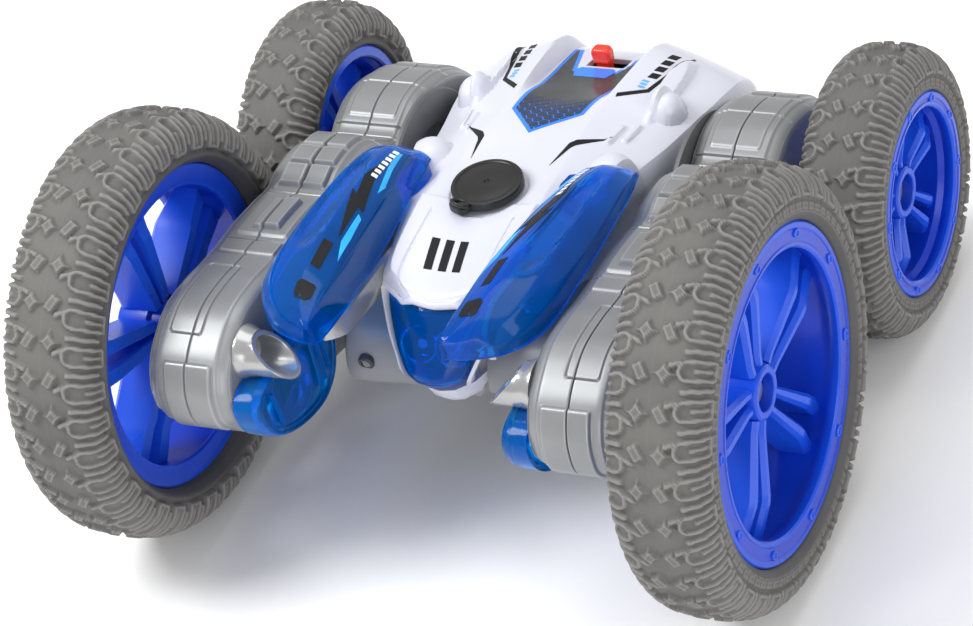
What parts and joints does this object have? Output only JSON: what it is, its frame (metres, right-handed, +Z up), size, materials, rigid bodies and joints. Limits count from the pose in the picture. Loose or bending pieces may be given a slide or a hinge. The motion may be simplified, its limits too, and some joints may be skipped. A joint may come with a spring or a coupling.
{
  "type": "rc stunt car",
  "caption": "Remote-control stunt car with two swing arms, large ribbed front tyres, smaller rear tyres, a low wedge body, clear fenders, a rubber plug and a slide switch.",
  "frame": {"origin": "on the ground under the middle of the overall box, all four tyres standing on z = 0", "axes": "+Z up; the nose and the two large wheels point towards -Y; the car's left side is +X; all wheel, pinion and arm axes lie along X"},
  "size_m": [0.2232, 0.2258, 0.13],
  "materials": {
    "tyre_rubber": "matt",
    "rim_blue": "gloss",
    "arm_silver": "satin",
    "pipe_silver": "gloss",
    "lens_blue": "gloss translucent",
    "body_white": "gloss",
    "chassis_grey": "satin",
    "cap_rubber": "matt",
    "switch_red": "gloss",
    "dark_plastic": "satin",
    "axle_nylon": "satin",
    "screw_steel": "satin",
    "motor_steel": "satin",
    "pinion_brass": "satin",
    "board_green": "satin",
    "battery_wrap": "satin"
  },
  "bodies": {
    "wheel_front_l": {"tyre_front_l": "tyre_rubber", "rim_front_l": "rim_blue", "axle_front_l": "axle_nylon", "wheel_screw_front_l": "screw_steel"},
    "drive_front_l": {"pinion_front_l": "pinion_brass"},
    "wheel_rear_l": {"tyre_rear_l": "tyre_rubber", "rim_rear_l": "rim_blue", "axle_rear_l": "axle_nylon", "wheel_screw_rear_l": "screw_steel"},
    "drive_rear_l": {"pinion_rear_l": "pinion_brass"},
    "arm_l": {"arm_case_outer_l": "arm_silver", "arm_case_inner_l": "arm_silver", "pivot_disc_l": "dark_plastic", "pivot_shaft_l": "axle_nylon", "arm_lens_l": "lens_blue", "arm_lamp_l": "board_green", "side_pipe_l": "pipe_silver", "motor_front_l": "motor_steel", "motor_rear_l": "motor_steel"},
    "wheel_front_r": {"tyre_front_r": "tyre_rubber", "rim_front_r": "rim_blue", "axle_front_r": "axle_nylon", "wheel_screw_front_r": "screw_steel"},
    "drive_front_r": {"pinion_front_r": "pinion_brass"},
    "wheel_rear_r": {"tyre_rear_r": "tyre_rubber", "rim_rear_r": "rim_blue", "axle_rear_r": "axle_nylon", "wheel_screw_rear_r": "screw_steel"},
    "drive_rear_r": {"pinion_rear_r": "pinion_brass"},
    "arm_r": {"arm_case_outer_r": "arm_silver", "arm_case_inner_r": "arm_silver", "pivot_disc_r": "dark_plastic", "pivot_shaft_r": "axle_nylon", "arm_lens_r": "lens_blue", "arm_lamp_r": "board_green", "side_pipe_r": "pipe_silver", "motor_front_r": "motor_steel", "motor_rear_r": "motor_steel"},
    "body": {"body_shell": "body_white", "chassis_tub": "chassis_grey", "battery_door": "chassis_grey", "door_screw": "screw_steel", "battery_pack": "battery_wrap", "circuit_board": "board_green", "charge_socket": "dark_plastic", "switch_body": "dark_plastic", "nose_lens": "lens_blue", "nose_lamp": "dark_plastic", "fender_l": "lens_blue", "fender_r": "lens_blue"},
    "plug": {"filler_plug": "cap_rubber"},
    "switch": {"power_slider": "switch_red"}
  },
  "joints": [
    {"name": "arm_swing_l", "type": "hinge", "parent": "body", "child": "arm_l", "pos_m": [0.0473, 0.046, 0.0487], "axis": [1, 0, 0], "range_deg": [0, 40]},
    {"name": "wheel_spin_front_l", "type": "hinge", "parent": "arm_l", "child": "wheel_front_l", "pos_m": [0.095, -0.04788, 0.065], "axis": [1, 0, 0], "continuous": true},
    {"name": "pinion_spin_front_l", "type": "hinge", "parent": "arm_l", "child": "drive_front_l", "pos_m": [0.0689, -0.06353, 0.06081], "axis": [1, 0, 0], "continuous": true},
    {"name": "wheel_spin_rear_l", "type": "hinge", "parent": "arm_l", "child": "wheel_rear_l", "pos_m": [0.095, 0.06789, 0.045], "axis": [1, 0, 0], "continuous": true},
    {"name": "pinion_spin_rear_l", "type": "hinge", "parent": "arm_l", "child": "drive_rear_l", "pos_m": [0.0689, 0.05978, 0.05903], "axis": [1, 0, 0], "continuous": true},
    {"name": "arm_swing_r", "type": "hinge", "parent": "body", "child": "arm_r", "pos_m": [-0.0473, 0.046, 0.0487], "axis": [1, 0, 0], "range_deg": [0, 40]},
    {"name": "wheel_spin_front_r", "type": "hinge", "parent": "arm_r", "child": "wheel_front_r", "pos_m": [-0.095, -0.04788, 0.065], "axis": [1, 0, 0], "continuous": true},
    {"name": "pinion_spin_front_r", "type": "hinge", "parent": "arm_r", "child": "drive_front_r", "pos_m": [-0.0689, -0.06353, 0.06081], "axis": [1, 0, 0], "continuous": true},
    {"name": "wheel_spin_rear_r", "type": "hinge", "parent": "arm_r", "child": "wheel_rear_r", "pos_m": [-0.095, 0.06789, 0.045], "axis": [1, 0, 0], "continuous": true},
    {"name": "pinion_spin_rear_r", "type": "hinge", "parent": "arm_r", "child": "drive_rear_r", "pos_m": [-0.0689, 0.05978, 0.05903], "axis": [1, 0, 0], "continuous": true},
    {"name": "plug_hinge", "type": "hinge", "parent": "body", "child": "plug", "pos_m": [-0.00508, -0.00957, 0.088], "axis": [0.9205, -0.3907, 0], "range_deg": [0, 90]},
    {"name": "power_slide", "type": "slide", "parent": "body", "child": "switch", "axis": [1, 0, 0], "range_m": [0, 0.0034]}
  ],
  "couplings": [
    {"joint": "pinion_spin_front_l", "follows": "wheel_spin_front_l", "ratio": -3},
    {"joint": "pinion_spin_rear_l", "follows": "wheel_spin_rear_l", "ratio": -3},
    {"joint": "pinion_spin_front_r", "follows": "wheel_spin_front_r", "ratio": -3},
    {"joint": "pinion_spin_rear_r", "follows": "wheel_spin_rear_r", "ratio": -3}
  ]
}
